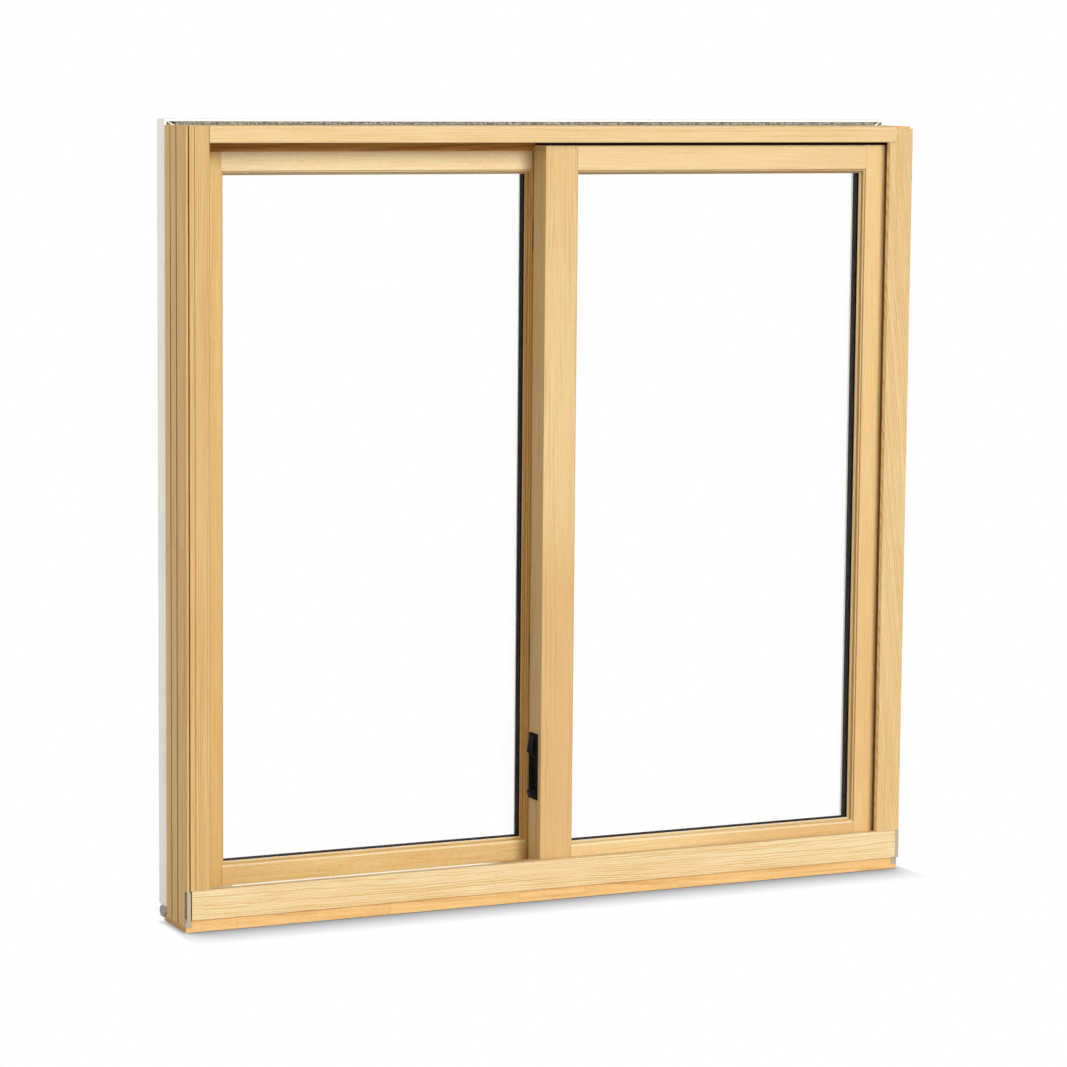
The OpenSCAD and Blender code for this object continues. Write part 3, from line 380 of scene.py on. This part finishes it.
def enamel():
    """Satin black enamel, with a groove across the lever and a small mark under it, both hollows that are
    darkened with painted shade.
    """
    finish = Finish("black_enamel")
    y, z = finish.place()[1:]
    low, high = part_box("lock_lever")
    groove = z.near(high[2] / MM - 8.75, 0.4, 0.8)
    across = y - (low[1] + 5.5 * MM)
    up = z - (low[2] + 10.05 * MM)
    mark = ((across * across + up * up) ** 0.5).near(0, 1.2, 1.8)
    face = (1 - groove) * (1 - mark)
    fine = finish.even_noise(900)
    # Painted shade: the groove and the mark are darker than the rest of the face
    colour = finish.mix(face, rgb("030303"), rgb("12110f"))
    colour = finish.mix(finish.even_noise(60) * 0.4, colour, rgb("070706"))
    finish.surface(Base_Color=colour, Roughness=(fine - 0.5) * 0.2 + 0.62, IOR=1.15,
                   Normal=finish.bump(fine * 0.15 + face, 0.3, 0.4))
    return finish.material


def placed(name, data):
    """A new object in the scene."""
    thing = bpy.data.objects.new(name, data)
    bpy.context.scene.collection.objects.link(thing)
    return thing


def modified(thing):
    """The mesh that a thing's modifiers make."""
    view = bpy.context.evaluated_depsgraph_get()
    return bpy.data.meshes.new_from_object(thing.evaluated_get(view), depsgraph=view)


def ended(shape, name):
    """Ends a shape under construction as a mesh."""
    mesh = bpy.data.meshes.new(name)
    shape.to_mesh(mesh)
    shape.free()
    return mesh


class Growth(Graph):
    """A Geometry Nodes tree under construction. Its sizes are named inputs."""

    def __init__(self, name, material, **sizes):
        super().__init__(bpy.data.node_groups.new(name, "GeometryNodeTree"))
        self.tree.interface.new_socket(name="Base", in_out="INPUT", socket_type="NodeSocketGeometry")
        self.sizes = {}
        for size, value in sizes.items():
            kind = "NodeSocketInt" if isinstance(value, int) else "NodeSocketFloat"
            socket = self.tree.interface.new_socket(name=size, in_out="INPUT", socket_type=kind)
            self.sizes[socket.identifier] = value
        self.tree.interface.new_socket(name="Result", in_out="OUTPUT", socket_type="NodeSocketGeometry")
        self.inputs = self.tree.nodes.new("NodeGroupInput").outputs
        self.material = material

    def scatter(self, shape, **settings):
        """Keeps the base and sets a shape on points spread over it."""
        spread = self.node("GeometryNodeDistributePointsOnFaces", None,
                           {"Mesh": self.inputs["Base"], "Density": self.inputs["Density"],
                            "Seed": self.inputs["Seed"]})
        copies = self.node("GeometryNodeInstanceOnPoints", None,
                           {"Points": spread.outputs["Points"], "Instance": shape,
                            "Rotation": spread.outputs["Rotation"], **settings})
        both = self.node("GeometryNodeJoinGeometry")
        for geometry in (self.inputs["Base"], copies.outputs[0]):
            self.tree.links.new(geometry, both.inputs[0])
        self.finish(both.outputs[0])

    def finish(self, geometry):
        """Ends the tree in real faces with their material."""
        real = self.node("GeometryNodeRealizeInstances", None, {0: geometry})
        dressed = self.node("GeometryNodeSetMaterial", None, {0: real.outputs[0], "Material": self.material})
        self.node("NodeGroupOutput", None, {0: dressed.outputs[0]})

    def grow(self, name, base, body, slot, *replaced):
        """Runs the tree on a mesh, keeps the result as one plain mesh and sets it on its body."""
        piece = placed(name, base)
        modifier = piece.modifiers.new("growth", "NODES")
        modifier.node_group = self.tree
        for identifier, value in self.sizes.items():
            modifier[identifier] = value
        mesh = modified(piece)
        piece.modifiers.clear()
        piece.data = mesh
        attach(piece, body)
        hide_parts(*replaced)


def merged(name):
    """A copy of a CAD node's mesh with its loose triangles joined."""
    copy = bmesh.new()
    copy.from_mesh(nodes[name].data)
    bmesh.ops.remove_doubles(copy, verts=copy.verts, dist=1e-6)
    return copy


def solids(name):
    """The box of each separate solid of a CAD node."""
    copy = merged(name)
    left = set(copy.verts)
    boxes = []
    while left:
        group = {left.pop()}
        edge = list(group)
        while edge:
            near = {other for vert in edge for link in vert.link_edges for other in link.verts} - group
            group |= near
            edge = list(near)
        left -= group
        corners = [vert.co for vert in group]
        boxes.append([[pick(c[axis] for c in corners) for axis in range(3)] for pick in (min, max)])
    copy.free()
    return sorted(boxes)


def foam_strip():
    """The foam strip in the head cladding: a bar covered in small cells."""
    low, high = (Vector(corner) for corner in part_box("head_foam_strip"))
    inset = Vector((0.4, 0.4, 0.4)) * MM
    bar = bmesh.new()
    bmesh.ops.create_cube(bar, size=1.0)
    for vert in bar.verts:
        for axis in range(3):
            vert.co[axis] = (high - inset)[axis] if vert.co[axis] > 0 else (low + inset)[axis]
    tree = Growth("foam_cells", speckled_foam(), Density=170000.0, Radius=0.75 * MM, Seed=4)
    cell = tree.node("GeometryNodeMeshIcoSphere", None, {"Radius": tree.inputs["Radius"], "Subdivisions": 1})
    size = tree.node("FunctionNodeRandomValue", {"data_type": "FLOAT"}, {2: 0.5, 3: 1.1, "Seed": 7})
    tree.scatter(cell.outputs["Mesh"], Scale=size.outputs[1])
    tree.grow("foam_cells", ended(bar, "foam_bar"), "frame", "grey_foam", "head_foam_strip")


def pile(name, node, body):
    """The short pile that stands on a weather strip."""
    tree = Growth(name, plain("grey_pile", "4a463e", 0.9, 0.2), Density=90000.0, Length=0.6 * MM,
                  Thickness=0.12 * MM, Seed=11)
    hair = tree.node("GeometryNodeMeshCone", {"fill_type": "NONE"},
                     {"Vertices": 3, "Radius Top": 0.02 * MM, "Radius Bottom": tree.inputs["Thickness"],
                      "Depth": tree.inputs["Length"]})
    tree.scatter(hair.outputs["Mesh"])
    tree.grow(name, ended(merged(node), name + "_base"), body, "black_rubber", node)


def screw_blank():
    """A wood screw without its recess: a domed head, a threaded shank and a point."""
    sides = 24
    # Radius, and depth below the top of the head
    profile = [(0.0, 0.0), (0.9, 0.05), (1.6, 0.25), (2.05, 0.6), (2.2, 1.0), (2.2, 1.25), (1.2, 1.6)]
    crest, root, pitch = 1.2, 0.85, 1.2
    turn, last_turn, tip = 1.6, 12.6, 14.0
    while turn < last_turn:
        profile += [(crest, turn + 0.5), (root, turn + 0.8), (root, turn + 1.1)]
        turn += pitch
    profile.append((0.0, tip))
    lathe = bmesh.new()
    angles = [math.tau * i / sides for i in range(sides)]
    rings = [[lathe.verts.new((r * MM * math.cos(a), d * MM, r * MM * math.sin(a))) for a in angles]
             for r, d in profile[1:-1]]
    top, point = (lathe.verts.new((0, profile[i][1] * MM, 0)) for i in (0, -1))
    for i in range(sides):
        j = (i + 1) % sides
        lathe.faces.new((rings[0][i], rings[0][j], top))
        lathe.faces.new((rings[-1][j], rings[-1][i], point))
        for a, b in zip(rings, rings[1:]):
            lathe.faces.new((a[j], a[i], b[i], b[j]))
    bmesh.ops.recalc_face_normals(lathe, faces=lathe.faces)
    return ended(lathe, "screw_blank")


def cross_cutter():
    """The tapering cross that cuts a screw's recess."""
    reach, half, deep = 1.35 * MM, 0.28 * MM, 0.95 * MM
    above, taper = 0.3 * MM, 0.55
    arms = [(reach, half), (half, half), (half, reach), (-half, reach), (-half, half), (-reach, half),
            (-reach, -half), (-half, -half), (-half, -reach), (half, -reach), (half, -half), (reach, -half)]
    cutter = bmesh.new()
    upper = [cutter.verts.new((x, -above, z)) for x, z in arms]
    lower = [cutter.verts.new((x * taper, deep, z * taper)) for x, z in arms]
    cutter.faces.new(upper)
    cutter.faces.new(lower[::-1])
    for i in range(len(arms)):
        j = (i + 1) % len(arms)
        cutter.faces.new((upper[j], upper[i], lower[i], lower[j]))
    bmesh.ops.recalc_face_normals(cutter, faces=cutter.faces)
    return ended(cutter, "cross_cutter")


def screw():
    """One wood screw with a cross-recessed head, its top at the origin and its point towards +Y."""
    blank = placed("screw_blank", screw_blank())
    tool = placed("cross_cutter", cross_cutter())
    cut = blank.modifiers.new("cross", "BOOLEAN")
    cut.object = tool
    cut.solver = "EXACT"
    mesh = modified(blank)
    bpy.data.objects.remove(blank)
    bpy.data.objects.remove(tool)
    return bpy.data.objects.new("screw", mesh)


def screws(name, node, body, material, slot, turned):
    """Cross-recessed screws where the CAD node has its plain ones, turned to point to the right or not."""
    driven = 0 if turned else 1
    places = []
    for low, high in solids(node):
        place = [(a + b) / 2 for a, b in zip(low, high)]
        place[driven] = low[driven]
        places.append(place)
    points = bpy.data.meshes.new(name + "_places")
    points.from_pydata(places, [], [])
    pattern = screw()
    tree = Growth(name, material, Turn=-math.pi / 2 if turned else 0.0, Seed=3)
    one = tree.node("GeometryNodeObjectInfo", None, {"Object": pattern})
    spin = tree.node("FunctionNodeRandomValue", {"data_type": "FLOAT"},
                     {2: 0.0, 3: 1.5, "Seed": tree.inputs["Seed"]})
    along = tree.node("FunctionNodeAxisAngleToRotation", None, {"Axis": (0, 1, 0), "Angle": spin.outputs[1]})
    facing = tree.node("FunctionNodeAxisAngleToRotation", None,
                       {"Axis": (0, 0, 1), "Angle": tree.inputs["Turn"]})
    both = tree.node("FunctionNodeRotateRotation", {"rotation_space": "LOCAL"},
                     {0: facing.outputs[0], 1: along.outputs[0]})
    set_out = tree.node("GeometryNodeInstanceOnPoints", None,
                        {"Points": tree.inputs["Base"], "Instance": one.outputs["Geometry"],
                         "Rotation": both.outputs[0]})
    tree.finish(set_out.outputs[0])
    tree.grow(name, points, body, slot, node)
    bpy.data.objects.remove(pattern)


def small_parts():
    """What repeats on the window: foam cells, pile and screws."""
    foam_strip()
    pile("interlock_pile", "interlock_strip", "sash")
    pile("jamb_pile", "jamb_seals", "frame")
    zinc = plain("zinc_screw", "a8a8aa", 0.35, 0.1, metallic=1.0)
    screws("keeper_cross_screws", "keeper_screws", "frame", zinc, "steel", False)
    black = plain("black_screw", "0b0b0b", 0.5, 0.1, shine=1.2)
    screws("handle_cross_screws", "handle_screws", "sash", black, "steel", True)


def set_camera():
    """The camera stands where the photograph was taken from."""
    yaw, pitch, roll = (math.radians(a) for a in (YAW, PITCH, ROLL))
    level = Vector((math.sin(yaw), math.cos(yaw), 0))
    side = Vector((math.cos(yaw), -math.sin(yaw), 0))
    up = Vector((0, 0, 1))
    ahead = level * math.cos(pitch) - up * math.sin(pitch)
    raised = up * math.cos(pitch) + level * math.sin(pitch)
    right = side * math.cos(roll) + raised * math.sin(roll)
    top = raised * math.cos(roll) - side * math.sin(roll)
    data = bpy.data.cameras.new("camera")
    data.sensor_width = 36
    data.lens = FOCAL / PHOTO * data.sensor_width
    camera = placed("camera", data)
    camera.matrix_world = Matrix((right, top, -ahead)).transposed().to_4x4()
    camera.location = Vector(VIEWPOINT) * MM
    bpy.context.scene.camera = camera


def seen_directly(graph):
    """1 for rays that show a thing: from the camera, a reflection or through glass."""
    path = graph.node("ShaderNodeLightPath")
    rays = [Value(graph, path.outputs[n]) for n in ("Is Camera Ray", "Is Glossy Ray", "Is Transmission Ray")]
    bounced = Value(graph, path.outputs["Diffuse Depth"]).math("GREATER_THAN", 0.5)
    return (rays[0] + rays[1] + rays[2]).math("MINIMUM", 1.0) * (1 - bounced)


def set_floor():
    """A white floor that keeps the soft shadow where the window stands on it."""
    reach = 7000 * MM
    under = 0.4 * MM
    mesh = bpy.data.meshes.new("floor")
    corners = [(-reach, -reach), (reach, -reach), (reach, reach), (-reach, reach)]
    mesh.from_pydata([(x, y, -under) for x, y in corners], [], [(0, 1, 2, 3)])
    floor = placed("floor", mesh)
    finish = Finish("white_floor")
    x, y = finish.place()[:2]
    # The shadow ends a little way past the window's sides, and short of them behind it
    end = cad_box[1][0]
    aside = x.math("ABSOLUTE")
    behind = aside.between(end - 63.5 * MM, end - 3.5 * MM) * y.between(0.0, 50 * MM)
    beside = aside.between(end - 9.5 * MM, end + 16.5 * MM).math("MAXIMUM", behind)
    shade = finish.node("ShaderNodeAmbientOcclusion", {"samples": 16}, {"Distance": 85 * MM})
    open_sky = (Value(finish, shade.outputs["AO"]) ** 1.3).math("MAXIMUM", beside)
    glow = finish.node("ShaderNodeEmission", None,
                       {"Color": finish.mix(open_sky, rgb("000000"), rgb("ffffff")), "Strength": 1.0})
    matt = finish.node("ShaderNodeBsdfDiffuse", None, {"Color": rgb("d4d2cd")})
    mixed = finish.node("ShaderNodeMixShader", None,
                        {0: seen_directly(finish), 1: matt.outputs[0], 2: glow.outputs[0]})
    finish.output(mixed.outputs[0])
    mesh.materials.append(finish.material)


def set_light():
    """A pale room, brighter overhead, a soft lamp in front to the right and a weaker one at the left."""
    world = bpy.data.worlds.new("studio")
    world.use_nodes = True
    bpy.context.scene.world = world
    graph = Graph(world.node_tree)
    towards = graph.node("ShaderNodeTexCoord")
    split = graph.node("ShaderNodeSeparateXYZ", None, {0: towards.outputs["Generated"]})
    strength = Value(graph, split.outputs["Z"]) * 0.12 + 0.30
    room = graph.node("ShaderNodeBackground", None, {"Color": rgb("fffdfa"), "Strength": strength})
    white = graph.node("ShaderNodeBackground", None, {"Color": rgb("ffffff"), "Strength": 1.0})
    mixed = graph.node("ShaderNodeMixShader", None,
                       {0: seen_directly(graph), 1: room.outputs[0], 2: white.outputs[0]})
    graph.node("ShaderNodeOutputWorld", None, {"Surface": mixed.outputs[0]})
    for name, (energy, softness, towards_lamp) in LAMPS.items():
        data = bpy.data.lights.new(name, "SUN")
        data.energy = energy
        data.angle = math.radians(softness)
        data.color = (1.0, 0.985, 0.96)
        lamp = placed(name, data)
        lamp.rotation_euler = Vector(towards_lamp).to_track_quat("Z", "Y").to_euler()


def inwards(name, side, steps):
    """Places across a board, each a step inwards from one of its sides."""
    low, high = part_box(name)
    starts = {"left": (low[0], 1), "right": (high[0], -1), "bottom": (low[2], 1), "top": (high[2], -1)}
    start, way = starts[side]
    return [start / MM + way * step for step in steps]


def cut_boards(boards):
    """Each board is cut from its own part of a log, so each has its own rings."""
    for name, cut in boards.items():
        dress(pine(name + "_pine", **cut), name)


def finish_frame_wood():
    """The jambs, the sill and head, and the stops on them."""
    cut_boards({
        "sill_board": dict(
            grain="x", seed=1.0, heart=(60, 150), rise=0.01, ring_gap=3.0, contrast=0.25,
            joints=(-521.5, -275.4, -61, 51.3, 212.6), light="efc88a", dark="d3a05a"),
        "sill_stop": dict(
            grain="x", seed=2.0, heart=(150, 25), rise=0.012, lean=0.006, ring_gap=3.2, contrast=0.37,
            waves=5, light="efdeb4", dark="d3a560"),
        "head_stop": dict(
            grain="x", seed=3.0, heart=(1050, 60), ring_gap=3.2, contrast=0.2,
            light="eacf9f", dark="d3ac6d"),
        "head_jamb": dict(
            grain="x", seed=4.0, heart=(1100, 40), rise=0.01, light="efca8e", dark="d3a05a"),
        "left_jamb": dict(
            grain="z", seed=5.0, heart=(-520, -70), rise=0.008, ring_gap=3.6, contrast=0.4,
            lines=inwards("left_jamb", "left", (1.3, 2.7, 4.1)), grooves=(-20.6, 5.2), joints=(571,),
            light="e4c286", dark="c99b5c"),
        "right_jamb": dict(
            grain="z", seed=6.0, heart=(540, -60), rise=0.02, light="efcb92", dark="d2a263"),
        "left_jamb_stop": dict(
            grain="z", seed=7.0, heart=(-700, 20), ring_gap=2.9, contrast=0.4,
            lines=inwards("left_jamb_stop", "left", (13.5, 36.5)), light="dbbb7f", dark="c49858"),
        "right_jamb_stop": dict(
            grain="z", seed=8.0, heart=(380, 0), rise=0.0, lean=0.13, ring_gap=3.1, waves=4, broken=0.1,
            contrast=0.6, light="e6cc9b", dark="d1a86a"),
        # Painted shade: its dark brown colours stand for the deep shade it lies in under the head stop
        "parting_stop": dict(
            grain="x", seed=9.0, heart=(1130, 30), rise=0.03, ring_gap=4.0, contrast=0.8,
            light="e09e4c", dark="c1782d"),
    })


def finish_sash_wood():
    """The sashes' stiles and rails, with the marks of their moulding on the side at the glass: painted shade
    in its quirks and painted highlight on the edges of its bead.
    """
    cut_boards({
        "fixed_left_stile": dict(
            grain="z", seed=10.0, heart=(-740, 30), ring_gap=2.6,
            lines=inwards("fixed_left_stile", "right", SHADED_QUIRKS), turn=(700, -250, 0.3),
            light="edcc8b", dark="d8ab61"),
        # Painted shade: its colours are darker than the other stiles', for the shade of the sliding sash in
        # front of it
        "fixed_meeting_stile": dict(
            grain="z", seed=11.0, heart=(-160, 60), rise=0.01,
            lines=inwards("fixed_meeting_stile", "left", SHADED_QUIRKS), light="d5a862", dark="bf8943"),
        "fixed_top_rail": dict(
            grain="x", seed=12.0, heart=(1000, 40), rise=0.006, ring_gap=3.2, contrast=0.2,
            lines=inwards("fixed_top_rail", "bottom", SHADED_QUIRKS), light="f9e6ba", dark="ebbf81"),
        "fixed_bottom_rail": dict(
            grain="x", seed=13.0, heart=(-60, 20), contrast=0.2,
            edges=inwards("fixed_bottom_rail", "top", HIGHLIGHT_EDGES), light="e9c889", dark="cfa15c"),
        "sash_meeting_stile": dict(
            grain="z", seed=14.0, heart=(120, 40), rise=0.02, ring_gap=6.0, contrast=0.35, broken=1.0,
            waves=3, streaks=0.15, side=0.32, lines=inwards("sash_meeting_stile", "right", SHADED_QUIRKS),
            turn=(545, -90, 0.45), light="e4c893", dark="d1a86b"),
        "sash_pull_stile": dict(
            grain="z", seed=15.0, heart=(430, 40), rise=0.02, ring_gap=6.0, contrast=0.2, broken=1.0,
            waves=3, streaks=0.1, lines=inwards("sash_pull_stile", "left", (5.6, 3.1)),
            turn=(600, -250, 0.3), light="e9cb94", dark="d8af6c"),
        "sash_top_rail": dict(
            grain="x", seed=16.0, heart=(1300, 30), ring_gap=6.0, contrast=0.1, broken=1.0,
            streaks=0.05, lines=inwards("sash_top_rail", "bottom", SHADED_QUIRKS), turn=(480, 120, 0.25),
            light="eacf9e", dark="d8b075"),
        "sash_bottom_rail": dict(
            grain="x", seed=17.0, heart=(-40, 20), rise=0.006,
            edges=inwards("sash_bottom_rail", "top", HIGHLIGHT_EDGES), turn=(300, 150, 0.5),
            light="eed4a0", dark="d8af6d"),
    })


def finish_outside():
    """The cladding with its keys and gaskets, and the foam in it."""
    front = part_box("left_jamb_cladding")[0][1] / MM
    die_lines = [front + step for step in (7.5, 14, 29.5)]
    dress(plain("off_white_cladding", "fffef8", 0.5, 0.15, lines=die_lines), "head_cladding",
          "left_jamb_cladding", "right_jamb_cladding", "sill_cladding", "left_corner_key",
          "right_corner_key")
    dress(sash_cover("fixed_sash_cover", "fixed_meeting_stile"), "fixed_sash_cladding")
    dress(sash_cover("sliding_sash_cover", "sash_meeting_stile"), "sash_cladding")
    dress(plain("grey_gasket", "a9a9a5", 0.75, 0.3), "left_corner_gasket", "right_corner_gasket")
    dress(plain("grey_foam", "8f8f8b", 0.9, 0.3), "head_foam_strip")


def finish_fittings():
    """The glass, tracks, seals and hardware."""
    dress(clear_glass(), "fixed_inner_pane", "fixed_outer_pane", "sash_inner_pane", "sash_outer_pane")
    dress(plain("beige_cap", "b3a78e", 0.55, 0.2), "left_end_cap", "right_end_cap")
    dress(plain("white_vinyl", "efeade", 0.45, 0.1), "sill_track", "top_guides", "left_roller",
          "right_roller")
    # Painted shade: the track cover turns brown to the right of -105 mm, where the sliding sash shades it
    dress(plain("track_cover_vinyl", "efeade", 0.45, 0.1, fade=(-105, "a07a45")), "track_cover")
    dress(plain("black_track", "060605", 0.7, 0.2, shine=1.25), "head_track", "travel_stop")
    dress(plain("black_rubber", "0b0a08", 0.75, 0.3, shine=1.25), "fixed_spacer", "sash_spacer",
          "sash_gasket", "jamb_seals", "interlock_strip")
    dress(plain("grey_gasket_bead", "5f594c", 0.7, 0.3), "fixed_gasket")
    dress(enamel(), "handle_plate", "lock_lever")
    dress(plain("zinc_plate", "a9a9aa", 0.35, 0.1, metallic=1.0), "upper_keeper", "lower_keeper",
          "left_roller_housing", "right_roller_housing", "upper_hook", "lower_hook")
    dress(plain("bright_steel", "b9b9bc", 0.3, 0.05, metallic=1.0), "keeper_screws", "handle_screws",
          "roller_axles", "lock_pins", "drive_bar")


bpy.context.scene.view_settings.view_transform = "Standard"
set_camera()
set_floor()
set_light()
finish_frame_wood()
finish_sash_wood()
finish_outside()
finish_fittings()
small_parts()
